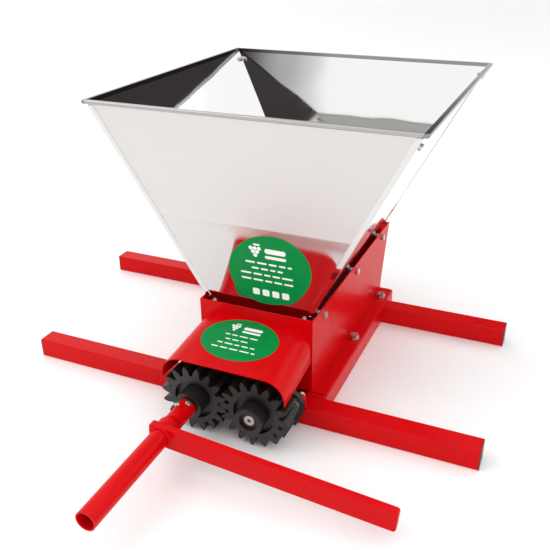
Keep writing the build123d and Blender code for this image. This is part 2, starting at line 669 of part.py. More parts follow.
skirt_y = HOPPER_CENTRE_Y - HOPPER_BOTTOM_HALF_Y
corner_seats = [
    side_wall_point(side_x, side_y, CORNER_BOLT_Z) for side_x in (-1, 1) for side_y in (-1, 1)
]
corner_seats += [
    ((BOX_CENTRE_X + side * SKIRT_BOLT_X, skirt_y - HOPPER_SHEET, SKIRT_BOLT_Z), (0, -1, 0))
    for side in (-1, 1)
]
corner_bolts = []
corner_nuts = []
corner_holes = []
for point, out in corner_seats:
    corner_bolts.append(place(hex_bolt(M5, 8), point, out))
    corner_nuts.append(place(Pos(0, 0, -2 * HOPPER_SHEET) * hex_nut(M5), point, out))
    corner_holes.append(place(Cylinder(M5["d"] / 2 + BOLT_CLEARANCE, 8), point, out))

front_panel = fronts[0] + block(
    BOX_CENTRE_X - HOPPER_BOTTOM_HALF_X + 2,
    BOX_CENTRE_X + HOPPER_BOTTOM_HALF_X - 2,
    skirt_y - HOPPER_SHEET,
    skirt_y,
    SKIRT_BOTTOM,
    HOPPER_BOTTOM,
)
for panel, name in ((front_panel, "hopper_front"), (fronts[1], "hopper_rear")):
    for hole in corner_holes:
        panel -= hole
    save(panel, name)


def side_skirt(side):
    """Upright sheet below a side panel, with a tab folded in behind the front skirt."""
    inner = BOX_CENTRE_X + side * HOPPER_BOTTOM_HALF_X
    skirt_x = sorted((inner, inner + side * HOPPER_SHEET))
    tab_x = sorted((inner, inner - side * SKIRT_TAB))
    skirt = block(skirt_x[0], skirt_x[1], skirt_y, SKIRT_BACK_Y, SKIRT_BOTTOM, HOPPER_BOTTOM)
    tab = block(tab_x[0], tab_x[1], skirt_y, skirt_y + HOPPER_SHEET, SKIRT_BOTTOM, HOPPER_BOTTOM - 1)
    skirt += tab
    for y in MOUNT_YS:
        skirt -= rod_x(y, MOUNT_Z, M6["d"] / 2 + BOLT_CLEARANCE, inner - 5, inner + 5)
    return skirt


for side, panel, name in ((-1, sides[0], "hopper_left"), (1, sides[1], "hopper_right")):
    panel += side_skirt(side)
    for hole in corner_holes:
        panel -= hole
    save(panel, name)

for strip in strips:
    centre = strip.center()
    across = "right" if centre.X > BOX_CENTRE_X else "left"
    along = "rear" if centre.Y > HOPPER_CENTRE_Y else "front"
    for hole in corner_holes:
        strip -= hole
    save(strip, f"hopper_strip_{along}_{across}")

save(group(corner_bolts), "hopper_corner_bolts")
save(group(corner_nuts), "hopper_corner_nuts")

skirt_outer = HOPPER_BOTTOM_HALF_X + HOPPER_SHEET
mount_bolts = []
mount_spacers = []
mount_nuts = []
for side in (-1, 1):
    for y in MOUNT_YS:
        outer_x = BOX_CENTRE_X + side * BOX_HALF
        mount_bolts.append(place(hex_bolt(M6, 15), (outer_x, y, MOUNT_Z), (side, 0, 0)))
        gap = sorted((BOX_CENTRE_X + side * BOX_INNER_HALF, BOX_CENTRE_X + side * skirt_outer))
        spacer = rod_x(y, MOUNT_Z, 5.0, gap[0], gap[1])
        spacer -= rod_x(y, MOUNT_Z, M6["d"] / 2 + BOLT_CLEARANCE, gap[0] - 1, gap[1] + 1)
        mount_spacers.append(spacer)
        nut_x = BOX_CENTRE_X + side * HOPPER_BOTTOM_HALF_X
        mount_nuts.append(place(hex_nut(M6), (nut_x, y, MOUNT_Z), (side, 0, 0)))
save(group(mount_bolts), "hopper_mount_bolts")
save(group(mount_spacers), "hopper_mount_spacers")
save(group(mount_nuts), "hopper_mount_nuts")

# ------------------------------------------------------------------- labels
guard_slope = atan((GUARD_REAR_TOP - GUARD_FRONT_TOP) / (FRONT_PLATE_Y - GUARD_FRONT_Y))
label_z = GUARD_FRONT_TOP + (GUARD_LABEL_CENTRE[1] - GUARD_FRONT_Y) * tan(guard_slope)
label_plane = Plane(
    (GUARD_LABEL_CENTRE[0], GUARD_LABEL_CENTRE[1], label_z),
    x_dir=(1, 0, 0),
    z_dir=(0, -sin(guard_slope), cos(guard_slope)),
)
oval = Ellipse(GUARD_LABEL[0] / 2, GUARD_LABEL[1] / 2)
save(extrude(label_plane * oval, LABEL_THICKNESS), "guard_label")

rise_z = HOPPER_LABEL_CENTRE[1] - HOPPER_BOTTOM
half_y = HOPPER_BOTTOM_HALF_Y + rise_z * tan(SLOPE_Y) + HOPPER_SHEET / cos(SLOPE_Y)
hopper_plane = Plane(
    (HOPPER_LABEL_CENTRE[0], HOPPER_CENTRE_Y - half_y, HOPPER_LABEL_CENTRE[1]),
    x_dir=(1, 0, 0),
    z_dir=(0, -cos(SLOPE_Y), -sin(SLOPE_Y)),
)
disc = Rot(0, 0, HOPPER_LABEL_TURN) * Ellipse(HOPPER_LABEL[0] / 2, HOPPER_LABEL[1] / 2)
save(extrude(hopper_plane * disc, LABEL_THICKNESS), "hopper_label")
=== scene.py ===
# %% [markdown]
# # A hand-cranked fruit crusher in a photo studio
#
# The crusher is a red powder-coated frame and box, a pair of black moulded gears, a crank with a
# tube for a handle, and a four-sided hopper of mirror-polished stainless sheet. The solid parts
# come from the CAD model as a fixed frame. This file gives each of them its real finish, adds the
# small things that a CAD model leaves out, such as weld beads and the print on the labels, and
# lights the whole on a pale studio floor.

import json
import math

import bpy
import numpy as np
from mathutils import Matrix, Vector


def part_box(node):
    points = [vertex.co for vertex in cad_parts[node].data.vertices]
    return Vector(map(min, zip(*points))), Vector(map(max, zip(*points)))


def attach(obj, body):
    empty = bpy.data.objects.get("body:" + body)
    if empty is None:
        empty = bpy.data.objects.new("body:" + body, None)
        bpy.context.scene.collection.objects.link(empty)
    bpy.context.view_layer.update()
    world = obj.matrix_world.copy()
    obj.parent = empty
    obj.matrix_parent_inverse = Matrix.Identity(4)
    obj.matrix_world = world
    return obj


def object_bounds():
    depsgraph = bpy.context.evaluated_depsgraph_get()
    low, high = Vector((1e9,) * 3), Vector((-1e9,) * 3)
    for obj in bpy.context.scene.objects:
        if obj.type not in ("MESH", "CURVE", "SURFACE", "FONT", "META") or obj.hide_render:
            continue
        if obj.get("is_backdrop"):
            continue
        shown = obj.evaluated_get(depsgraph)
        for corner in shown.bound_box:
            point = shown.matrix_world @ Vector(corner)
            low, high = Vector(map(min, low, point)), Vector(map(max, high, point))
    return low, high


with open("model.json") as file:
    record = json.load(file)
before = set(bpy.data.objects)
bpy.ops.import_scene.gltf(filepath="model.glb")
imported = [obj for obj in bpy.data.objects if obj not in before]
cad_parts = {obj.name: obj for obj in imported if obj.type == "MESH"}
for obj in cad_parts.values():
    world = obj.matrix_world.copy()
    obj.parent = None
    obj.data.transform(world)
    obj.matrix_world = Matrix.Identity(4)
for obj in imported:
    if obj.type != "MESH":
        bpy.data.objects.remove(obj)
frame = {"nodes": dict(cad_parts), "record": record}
cad_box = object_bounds()
parts = frame["nodes"]
slot_of = {row["node"]: row["material_slot"] for row in frame["record"]["subparts"]}
MM = 0.001

# %% [markdown]
# ## Small helpers
#
# A material in Blender is a small graph of nodes. One function that adds a node, sets its values
# and plugs in its links keeps every recipe below short. Colours are written as the hex values that
# a paint chart or a picture editor shows, and those are sRGB. The shader calculates with linear
# light, so each value goes through the sRGB curve once.

# %% Colour and node helpers


def colour(code):
    """sRGB hex to linear RGBA: c / 12.92 below 0.04045, else ((c + 0.055) / 1.055) to the 2.4."""
    shares = [int(code[i : i + 2], 16) / 255 for i in (1, 3, 5)]
    linear = [c / 12.92 if c <= 0.04045 else ((c + 0.055) / 1.055) ** 2.4 for c in shares]
    return (*linear, 1.0)


def add(tree, kind, inputs=None, **settings):
    """Adds a node, with its settings by name and its sockets set to a value or linked to an output."""
    node = tree.nodes.new(kind)
    for name, value in settings.items():
        setattr(node, name, value)
    for socket, value in (inputs or {}).items():
        if isinstance(value, bpy.types.NodeSocket):
            tree.links.new(value, node.inputs[socket])
        else:
            node.inputs[socket].default_value = value
    return node


def start_material(name):
    """An empty material, its tree, and the object coordinates in metres that all patterns read."""
    material = bpy.data.materials.new(name)
    material.use_nodes = True
    tree = material.node_tree
    tree.nodes.clear()
    place = add(tree, "ShaderNodeTexCoord").outputs["Object"]
    return material, tree, place


def finish_material(tree, shader):
    """Plugs the shader into the material's surface."""
    add(tree, "ShaderNodeOutputMaterial", {"Surface": shader.outputs[0]})


print("red", [round(c, 3) for c in colour("#D8121B")])

# %% [markdown]
# ## Powder-coated steel, gloss red
#
# The tubes, the box, the guard and the crank are mild steel, sprayed with polyester powder and
# baked. The powder melts to a thick, even gloss skin with a very soft waviness, called orange
# peel. Its cells are 1 to 2 mm across. They are drawn at 3 mm so that they still show. A clear
# coat on the shader gives the sharp highlight, and the layer under it the deep, even red. The
# specular level is set well under a real gloss coat's, because the surroundings here are white
# nearly all round and would wash the red out to pink.

# %% Red powder coat
ORANGE_PEEL = 3.0 * MM
BATCH_PATCH = 120.0 * MM

powder_red, tree, place = start_material("polyester_powder_coat_gloss_red")
patch = add(tree, "ShaderNodeTexNoise", {"Vector": place, "Scale": 1 / BATCH_PATCH, "Detail": 2.0})
red = add(
    tree,
    "ShaderNodeMix",
    {"Factor": patch.outputs["Fac"], 6: colour("#C60208"), 7: colour("#D1030B")},
    data_type="RGBA",
)
peel = add(tree, "ShaderNodeTexNoise", {"Vector": place, "Scale": 1 / ORANGE_PEEL, "Detail": 1.0})
skin = add(
    tree,
    "ShaderNodeBump",
    {"Height": peel.outputs["Fac"], "Strength": 0.10, "Distance": 0.25 * MM},
)
gloss = add(
    tree,
    "ShaderNodeMapRange",
    {"Value": patch.outputs["Fac"], "From Min": 0.3, "From Max": 0.7, "To Min": 0.26, "To Max": 0.34},
)
shader = add(
    tree,
    "ShaderNodeBsdfPrincipled",
    {
        "Base Color": red.outputs[2],
        "Roughness": gloss.outputs[0],
        "IOR": 1.5,
        "Specular IOR Level": 0.08,
        "Coat Weight": 0.07,
        "Coat Roughness": 0.05,
        "Coat IOR": 1.5,
        "Normal": skin.outputs[0],
    },
)
finish_material(tree, shader)
print("made", powder_red.name)

# %% [markdown]
# ## Mirror-polished stainless steel
#
# The hopper is 1 mm stainless sheet, polished and folded. Sheet this thin is never quite flat, so
# what it mirrors bends softly, over some 70 mm. The polish leaves hair-fine marks that run down
# the slope and widen the mirror image a little. The inner faces of the rear and side panels mirror
# as if they leaned 6 to 8 degrees differently from the solid parts. That is an even slope of the
# bump, because moving the mesh would change the solid part.

# %% Polished stainless
SHEET_WAVE = 70.0 * MM
POLISH_LINE = 1.5 * MM
# Painted light and shade: one polished steel in lit and shaded copies. The inner faces get the light copy;
# the outer faces, the side panels' outer faces and the folded rim get darker ones.
OUTER_STEEL_SHADED, SIDE_STEEL_SHADED, INNER_STEEL_LIT = "#D6D4D2", "#C2C0BE", "#EBEBEA"
RIM_STEEL_SHADED, FRONT_RIM_STEEL_SHADED = "#8F8D8C", "#B4B2B0"
RIM_FOOT = 0.4165
SHEET_RIPPLE = 0.4 * MM
REAR_BOW, SIDE_BOW = -0.103, 0.154


def polished_sheet(name, bow, outside_shaded=OUTER_STEEL_SHADED):
    """
    Polished stainless sheet. The skin's height is ripple + bow * z on the faces that look up,
    which are the inner ones, so a panel's inner face mirrors as a steeper or flatter one would.
    The folded rim and the outer faces (colour outside) are given a darker colour than the inner ones. That
    is painted shade: it is all one steel.
    """
    material, tree, place = start_material(name)
    facing = add(tree, "ShaderNodeTexCoord").outputs["Normal"]
    upward = add(tree, "ShaderNodeSeparateXYZ", {"Vector": facing}).outputs["Z"]
    inner = add(tree, "ShaderNodeMath", {0: upward, 1: 0.0}, operation="GREATER_THAN").outputs[0]
    wave = add(tree, "ShaderNodeTexNoise", {"Vector": place, "Scale": 1 / SHEET_WAVE, "Detail": 0.0})
    lines = add(
        tree,
        "ShaderNodeMapping",
        {"Vector": place, "Scale": (1 / POLISH_LINE, 1 / POLISH_LINE, 12.0)},
    )
    marks = add(tree, "ShaderNodeTexNoise", {"Vector": lines.outputs[0], "Scale": 1.0, "Detail": 2.0})
    haze = add(
        tree,
        "ShaderNodeMapRange",
        {"Value": marks.outputs["Fac"], "From Min": 0.35, "From Max": 0.65, "To Min": 0.03, "To Max": 0.07},
    )
    # Painted shade: the outer faces take the darker copy of the steel, the inner faces the light one.
    steel = add(
        tree,
        "ShaderNodeMix",
        {"Factor": inner, 6: colour(outside_shaded), 7: colour(INNER_STEEL_LIT)},
        data_type="RGBA",
    )
    ripple = add(
        tree, "ShaderNodeMath", {0: wave.outputs["Fac"], 1: SHEET_RIPPLE}, operation="MULTIPLY"
    ).outputs[0]
    height = add(tree, "ShaderNodeSeparateXYZ", {"Vector": place}).outputs["Z"]
    # Painted shade: above RIM_FOOT the folded rim takes a darker copy of the steel, in place of the dark
    # lines that its fold mirrors.
    rim = add(tree, "ShaderNodeMath", {0: height, 1: RIM_FOOT}, operation="GREATER_THAN").outputs[0]
    steel = add(
        tree,
        "ShaderNodeMix",
        {"Factor": rim, 6: steel.outputs[2], 7: colour(RIM_STEEL_SHADED)},
        data_type="RGBA",
    )
    bent = add(tree, "ShaderNodeMath", {0: height, 1: bow}, operation="MULTIPLY").outputs[0]
    skin_height = add(
        tree, "ShaderNodeMath", {0: bent, 1: inner, 2: ripple}, operation="MULTIPLY_ADD"
    ).outputs[0]
    dent = add(tree, "ShaderNodeBump", {"Height": skin_height, "Strength": 1.0, "Distance": 1.0})
    shader = add(
        tree,
        "ShaderNodeBsdfPrincipled",
        {
            "Base Color": steel.outputs[2],
            "Metallic": 1.0,
            "Roughness": haze.outputs[0],
            "Normal": dent.outputs[0],
        },
    )
    finish_material(tree, shader)
    return material


mirror_steel = polished_sheet("stainless_sheet_mirror_polished", 0.0)
mirror_rear = polished_sheet("stainless_sheet_mirror_polished_rear", REAR_BOW)
# The side panels' outer faces get a darker copy still: painted shade.
mirror_side = polished_sheet("stainless_sheet_mirror_polished_side", SIDE_BOW, SIDE_STEEL_SHADED)
print("made", mirror_steel.name, mirror_rear.name, mirror_side.name)

# %% [markdown]
# ### The front panel's belly
#
# A thin polished panel that is bolted only at its corners bellies out and twists a little. Eyes
# don't see the few millimetres, but the mirror image of the guard in front of it stretches
# upwards. Moving the mesh would change the solid part, so the belly is a bump. Its slope grows
# evenly with height, so its height is a square law, and above a line the sheet is flat again. The
# twist is a height that grows across the panel, and the skew is a twist that grows with height.
# Higher up, the sheet has a haze, so that far things mirror softly and near things sharply.

# %% Front panel
BELLY_FOOT = 0.150
BELLY_LINE = 0.270
FOOT_SLOPE = 0.055
SLOPE_GROWTH = 0.85
TWIST = -0.060
SKEW = -0.18
FRONT_RIPPLE = 0.3 * MM

mirror_panel, tree, place = start_material("stainless_sheet_mirror_polished_bellied")
wave = add(tree, "ShaderNodeTexNoise", {"Vector": place, "Scale": 1 / SHEET_WAVE, "Detail": 0.0})
axes = add(tree, "ShaderNodeSeparateXYZ", {"Vector": place}).outputs
height = axes["Z"]
above_foot = add(tree, "ShaderNodeMath", {0: height, 1: BELLY_FOOT}, operation="SUBTRACT").outputs[0]
curved = add(
    tree,
    "ShaderNodeClamp",
    {"Value": above_foot, "Min": 0.0, "Max": BELLY_LINE - BELLY_FOOT},
).outputs[0]
square = add(tree, "ShaderNodeMath", {0: curved, 1: curved}, operation="MULTIPLY").outputs[0]
bow = add(tree, "ShaderNodeMath", {0: square, 1: SLOPE_GROWTH / 2}, operation="MULTIPLY").outputs[0]
lean = add(tree, "ShaderNodeMath", {0: curved, 1: FOOT_SLOPE}, operation="MULTIPLY").outputs[0]
twist = add(tree, "ShaderNodeMath", {0: axes["X"], 1: TWIST}, operation="MULTIPLY").outputs[0]
askew = add(tree, "ShaderNodeMath", {0: axes["X"], 1: curved}, operation="MULTIPLY").outputs[0]
skew = add(tree, "ShaderNodeMath", {0: askew, 1: SKEW}, operation="MULTIPLY").outputs[0]
ripple = add(
    tree, "ShaderNodeMath", {0: wave.outputs["Fac"], 1: FRONT_RIPPLE}, operation="MULTIPLY"
).outputs[0]
skin_height = bow
for share in (lean, twist, skew, ripple):
    skin_height = add(
        tree, "ShaderNodeMath", {0: skin_height, 1: share}, operation="ADD"
    ).outputs[0]
dent = add(tree, "ShaderNodeBump", {"Height": skin_height, "Strength": 1.0, "Distance": 1.0})
haze = add(
    tree,
    "ShaderNodeMapRange",
    {"Value": height, "From Min": 0.24, "From Max": 0.285, "To Min": 0.04, "To Max": 0.40},
    interpolation_type="SMOOTHSTEP",
)
# Painted shade: the front panel takes the outer faces' darker copy of the steel on both sides, and above
# RIM_FOOT its rim takes a darker copy still.
rim = add(tree, "ShaderNodeMath", {0: height, 1: RIM_FOOT}, operation="GREATER_THAN").outputs[0]
steel = add(
    tree,
    "ShaderNodeMix",
    {"Factor": rim, 6: colour(OUTER_STEEL_SHADED), 7: colour(FRONT_RIM_STEEL_SHADED)},
    data_type="RGBA",
)
shader = add(
    tree,
    "ShaderNodeBsdfPrincipled",
    {
        "Base Color": steel.outputs[2],
        "Metallic": 1.0,
        "Roughness": haze.outputs[0],
        "Normal": dent.outputs[0],
    },
)
finish_material(tree, shader)
print("made", mirror_panel.name)

# %% [markdown]
# ## Moulded black plastic
#
# Gears, bearing plates and tube caps are injection-moulded, glass-filled nylon. The fibres near
# the skin leave a fine, slightly cloudy grain, so it shines softly and looks a little grey where
# the light grazes it.

# %% Black nylon
NYLON_GRAIN = 1.6 * MM

black_nylon, tree, place = start_material("glass_filled_nylon_moulded_black")
cloud = add(tree, "ShaderNodeTexNoise", {"Vector": place, "Scale": 1 / (22 * MM), "Detail": 4.0})
grain = add(tree, "ShaderNodeTexNoise", {"Vector": place, "Scale": 1 / NYLON_GRAIN, "Detail": 2.0})
black = add(
    tree,
    "ShaderNodeMix",
    {"Factor": cloud.outputs["Fac"], 6: colour("#0F0E0E"), 7: colour("#1E1C1B")},
    data_type="RGBA",
)
sheen = add(
    tree,
    "ShaderNodeMapRange",
    {"Value": grain.outputs["Fac"], "From Min": 0.3, "From Max": 0.7, "To Min": 0.36, "To Max": 0.5},
)
grit = add(
    tree,
    "ShaderNodeBump",
    {"Height": grain.outputs["Fac"], "Strength": 0.25, "Distance": 0.2 * MM},
)
shader = add(
    tree,
    "ShaderNodeBsdfPrincipled",
    {
        "Base Color": black.outputs[2],
        "Roughness": sheen.outputs[0],
        "IOR": 1.53,
        "Normal": grit.outputs[0],
    },
)
finish_material(tree, shader)
print("made", black_nylon.name)

# %% [markdown]
# ## Zinc-plated fasteners
#
# Bolts, nuts and washers are steel with a thin coat of bright zinc. Zinc grows in small crystals,
# so the shine is broken into soft patches of about 1 mm, and it is a slightly warm, milky grey.

# %% Bright zinc
ZINC_PATCH = 1.5 * MM

bright_zinc, tree, place = start_material("steel_bright_zinc_plated")
crystals = add(tree, "ShaderNodeTexVoronoi", {"Vector": place, "Scale": 1 / ZINC_PATCH})
zinc = add(
    tree,
    "ShaderNodeMix",
    {"Factor": crystals.outputs["Distance"], 6: colour("#D6D3CC"), 7: colour("#B9B6AF")},
    data_type="RGBA",
)
dull = add(
    tree,
    "ShaderNodeMapRange",
    {"Value": crystals.outputs["Distance"], "To Min": 0.22, "To Max": 0.38},
)
shader = add(
    tree,
    "ShaderNodeBsdfPrincipled",
    {"Base Color": zinc.outputs[2], "Metallic": 1.0, "Roughness": dull.outputs[0]},
)
finish_material(tree, shader)
print("made", bright_zinc.name)

# %% [markdown]
# ## Turned shafts and cast rollers
#
# A lathe leaves a fine thread of tool marks round a shaft, about 0.2 mm apart. They are drawn
# 1 mm apart, as bands along the shaft, which lies along Y. The rollers are cast aluminium, left
# as cast between the flutes, so they are duller and faintly grained.

# %% Turned steel and cast aluminium
TOOL_MARK = 1.0 * MM
CAST_GRAIN = 2.5 * MM

turned_steel, tree, place = start_material("steel_bar_turned_bright")
bands = add(
    tree,
    "ShaderNodeTexWave",
    {"Vector": place, "Scale": 1 / (TOOL_MARK * 20), "Distortion": 0.4, "Detail": 1.0},
    bands_direction="Y",
)
groove = add(
    tree,
    "ShaderNodeBump",
    {"Height": bands.outputs["Fac"], "Strength": 0.2, "Distance": 0.08 * MM},
)
shader = add(
    tree,
    "ShaderNodeBsdfPrincipled",
    {
        "Base Color": colour("#BDBBB6"),
        "Metallic": 1.0,
        "Roughness": 0.27,
        "Normal": groove.outputs[0],
    },
)
finish_material(tree, shader)

cast_aluminium, tree, place = start_material("aluminium_casting_turned")
pores = add(tree, "ShaderNodeTexNoise", {"Vector": place, "Scale": 1 / CAST_GRAIN, "Detail": 3.0})
casting = add(
    tree,
    "ShaderNodeMix",
    {"Factor": pores.outputs["Fac"], 6: colour("#A9AAAC"), 7: colour("#CDCECF")},
    data_type="RGBA",
)
rough_cast = add(
    tree,
    "ShaderNodeBump",
    {"Height": pores.outputs["Fac"], "Strength": 0.3, "Distance": 0.2 * MM},
)
shader = add(
    tree,
    "ShaderNodeBsdfPrincipled",
    {
        "Base Color": casting.outputs[2],
        "Metallic": 1.0,
        "Roughness": 0.38,
        "Normal": rough_cast.outputs[0],
    },
)
finish_material(tree, shader)
print("made", turned_steel.name, "and", cast_aluminium.name)

# %% [markdown]
# ## Printed vinyl
#
# The two oval labels are green vinyl film with white print. Film laid by hand keeps a slight
# unevenness from the glue under it, which shows only where it shines.

# %% Green film and white ink
GLUE_PATCH = 9.0 * MM


def vinyl(name, light, dark, roughness):
    """Vinyl film: two close shades in soft patches, under a satin skin with glue unevenness."""
    material, tree, place = start_material(name)
    glue = add(tree, "ShaderNodeTexNoise", {"Vector": place, "Scale": 1 / GLUE_PATCH, "Detail": 1.0})
    film = add(
        tree,
        "ShaderNodeMix",
        {"Factor": glue.outputs["Fac"], 6: colour(dark), 7: colour(light)},
        data_type="RGBA",
    )
    lift = add(
        tree,
        "ShaderNodeBump",
        {"Height": glue.outputs["Fac"], "Strength": 0.12, "Distance": 0.2 * MM},
    )
    shader = add(
        tree,
        "ShaderNodeBsdfPrincipled",
        {
            "Base Color": film.outputs[2],
            "Roughness": roughness,
            "IOR": 1.52,
            "Specular IOR Level": 0.12,
            "Normal": lift.outputs[0],
        },
    )
    finish_material(tree, shader)
    return material


green_film = vinyl("vinyl_film_green_satin", "#009046", "#007E3A", 0.34)
white_ink = vinyl("screen_ink_white_on_vinyl", "#FAFBF8", "#EEF2EC", 0.4)
print("made", green_film.name, "and", white_ink.name)

# %% [markdown]
# ## Give each solid part its finish
#
# The CAD record names a material slot for each part, so one table from slot to material is
# enough, and a later repaint changes only the table.

# %% Finish by slot
finish_of = {
    "red_paint": powder_red,
    "stainless": mirror_steel,
    "black_plastic": black_nylon,
    "shaft_steel": turned_steel,
    "zinc_steel": bright_zinc,
    "roller_aluminium": cast_aluminium,
    "green_label": green_film,
}
panel_finish = {
    "hopper_front": mirror_panel,
    "hopper_rear": mirror_rear,
    "hopper_left": mirror_side,
    "hopper_right": mirror_side,
}
for name, part in parts.items():
    part.data.materials.clear()
    part.data.materials.append(panel_finish.get(name, finish_of[slot_of[name]]))
print({slot: sum(1 for s in slot_of.values() if s == slot) for slot in finish_of})

# %% [markdown]
# ## Weld beads
#
# The frame is MIG-welded: a bead is a row of small frozen puddles, each lapping over the last, so
# its surface swells and dips every 3 mm or so. Paint goes over it. A bead could be sculpted, but
# it is a plain rule: a round section carried along a path, with a radius that ripples with the
# distance travelled and falls to nothing at the two ends.

# %% Surface helpers


def make_piece(name, vertices, faces, material, body, smooth):
    """Puts corners and faces into a mesh that rides on a body of the frame."""
    mesh = bpy.data.meshes.new(name)
    mesh.from_pydata(vertices.tolist(), [], faces)
    mesh.polygons.foreach_set("use_smooth", np.full(len(mesh.polygons), smooth))
    mesh.materials.append(material)
    mesh.update()
    piece = bpy.data.objects.new(name, mesh)
    bpy.context.scene.collection.objects.link(piece)
    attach(piece, body)
    return piece


def grid_quads(rows, columns, wrap_rows=False):
    """Faces of a grid whose columns close on themselves, and whose rows do too if asked."""
    row = np.arange(rows if wrap_rows else rows - 1)[:, None]
    column = np.arange(columns)[None, :]
    next_row = (row + 1) % rows
    next_column = (column + 1) % columns
    corners = (
        row * columns + column,
        next_row * columns + column,
        next_row * columns + next_column,
        row * columns + next_column,
    )
    return np.stack([c + 0 * row + 0 * column for c in corners], axis=-1).reshape(-1, 4)


def face_outwards(vertices, quads, caps):
    """Turns all faces over if the volume of the quads, summed as signed cones, is negative."""
    a, b, c, d = (vertices[quads[:, i]] for i in range(4))
    cones = np.einsum("ij,ij->i", a, np.cross(b, c)) + np.einsum("ij,ij->i", a, np.cross(c, d))
    way = 1 if cones.sum() > 0 else -1
    return [face[::way] for face in quads.tolist() + caps.tolist()]


def walk(corners, step):
    """Points a step apart along straight runs between the corners, and the distance to each."""
    corners = np.asarray(corners, float)
    lengths = np.r_[0, np.cumsum(np.linalg.norm(np.diff(corners, axis=0), axis=1))]
    travelled = np.linspace(0, lengths[-1], max(int(lengths[-1] / step), 8))
    points = np.stack([np.interp(travelled, lengths, corners[:, k]) for k in range(3)], axis=1)
    return points, travelled


print("helpers ready")

# %% Bead function
RIPPLE_PITCH = 3.2 * MM
AROUND = 10


def bead(name, points, normal, radius, body, closed=False, lumps=0.16):
    """
    Weld bead along a flat path.
    Centre(s) runs along the path; at each centre the section is a circle in the plane of the
    path's normal n and the sideways direction n x tangent. Its radius is
    r * (1 + lumps * cos(2 pi s / pitch)) * (1 - |2s/L - 1|^12)^0.5, and the last factor, which
    closes the ends, is left out on a closed path.
    """
    normal = np.asarray(normal, float)
    if closed:
        tangent = np.roll(points, -1, axis=0) - np.roll(points, 1, axis=0)
    else:
        tangent = np.gradient(points, axis=0)
    tangent /= np.linalg.norm(tangent, axis=1)[:, None]
    side = np.cross(normal, tangent)
    gaps = np.linalg.norm(np.diff(points, axis=0), axis=1)
    travelled = np.r_[0, np.cumsum(gaps)]
    total = travelled[-1]
    pitch = total / max(round(total / RIPPLE_PITCH), 1)
    size = radius * (1 + lumps * np.cos(2 * np.pi * travelled / pitch))
    if not closed:
        size = size * np.sqrt(np.clip(1 - np.abs(2 * travelled / total - 1) ** 12, 0.0004, 1))
    turn = np.linspace(0, 2 * np.pi, AROUND, endpoint=False)
    ring = np.cos(turn)[None, :, None] * normal + np.sin(turn)[None, :, None] * side[:, None, :]
    vertices = (points[:, None, :] + size[:, None, None] * ring).reshape(-1, 3)
    quads = grid_quads(len(points), AROUND, wrap_rows=closed)
    caps = np.zeros((0, 3), int)
    if not closed:
        tip = len(vertices)
        last = tip - AROUND
        column = np.arange(AROUND)
        following = (column + 1) % AROUND
        start = np.stack([column, following, 0 * column + tip], axis=-1)
        end = np.stack([last + following, last + column, 0 * column + tip + 1], axis=-1)
        vertices = np.r_[vertices, points[[0, -1]]]
        caps = np.r_[start, end]
    faces = face_outwards(vertices - vertices.mean(axis=0), quads, caps)
    return make_piece(name, vertices, faces, powder_red, body, True)


print("bead ripples every", RIPPLE_PITCH / MM, "mm")

# %% [markdown]
# ## Where the frame is welded
#
# The rear crossbars are welded to the outer faces of the rails, the rails and the cross member to
# the bars they meet. Each bead goes up one side of the tube, over the top and down the other. The
# underside stays clear, because the frame lies flat on the tub.

# %% Frame welds
BEAD = 1.9 * MM
ROUNDING = 2.4 * MM


def saddle(a0, a1, top, bottom):
    """Path up one side, over the top and down the other: an open outline with bevelled corners."""
    return [
        (a0, bottom),
        (a0, top - ROUNDING),
        (a0 + ROUNDING * 0.3, top - ROUNDING * 0.3),
        (a0 + ROUNDING, top),
        (a1 - ROUNDING, top),
        (a1 - ROUNDING * 0.3, top - ROUNDING * 0.3),
        (a1, top - ROUNDING),
        (a1, bottom),
    ]


def saddle_across_x(name, x, node):
    """Bead in the plane of one X, round the section of a tube that runs along X."""
    low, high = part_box(node)
    path = [(x, a, b) for a, b in saddle(low.y, high.y, high.z, low.z + 3 * MM)]
    points, _ = walk(path, 0.8 * MM)
    return bead(name, points, (1, 0, 0), BEAD, "frame")


def saddle_across_y(name, y, node):
    """Bead in the plane of one Y, round the section of a tube that runs along Y."""
    low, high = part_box(node)
    path = [(a, y, b) for a, b in saddle(low.x, high.x, high.z, low.z + 3 * MM)]
    points, _ = walk(path, 0.8 * MM)
    return bead(name, points, (0, 1, 0), BEAD, "frame")


rail_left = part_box("side_rail_left")
rail_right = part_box("side_rail_right")
bar_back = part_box("front_crossbar")[1].y
frame_beads = [
    saddle_across_x("weld_rear_bar_left", rail_left[0].x, "rear_crossbar_left"),
    saddle_across_x("weld_rear_bar_right", rail_right[1].x, "rear_crossbar_right"),
    saddle_across_x("weld_member_left", rail_left[1].x, "rear_cross_member"),
    saddle_across_x("weld_member_right", rail_right[0].x, "rear_cross_member"),
    saddle_across_y("weld_rail_left", bar_back, "side_rail_left"),
    saddle_across_y("weld_rail_right", bar_back, "side_rail_right"),
]
print(len(frame_beads), "frame beads,", sum(len(b.data.polygons) for b in frame_beads), "faces")

# %% [markdown]
# ## Where the crank is welded
#
# The handle tube is welded all round on the front of the arm by hand, and the puddles there are
# larger and less even. Behind the arm the flared boss is welded where it meets the bar.

# %% Crank and lug welds
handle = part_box("handle_tube")
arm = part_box("crank_arm")
axis_x = (handle[0].x + handle[1].x) / 2
axis_z = (handle[0].z + handle[1].z) / 2
handle_radius = (handle[1].x - handle[0].x) / 2
boss_radius = (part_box("crank_socket")[1].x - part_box("crank_socket")[0].x) / 2


def arc(radius, y, start=0.0, end=2 * math.pi, count=120, endpoint=False):
    """Arc about the crank's axis in the plane of one Y: centre + r (cos a, sin a)."""
    a = np.linspace(start, end, count, endpoint=endpoint)
    return np.stack([axis_x + radius * np.cos(a), 0 * a + y, axis_z + radius * np.sin(a)], axis=1)


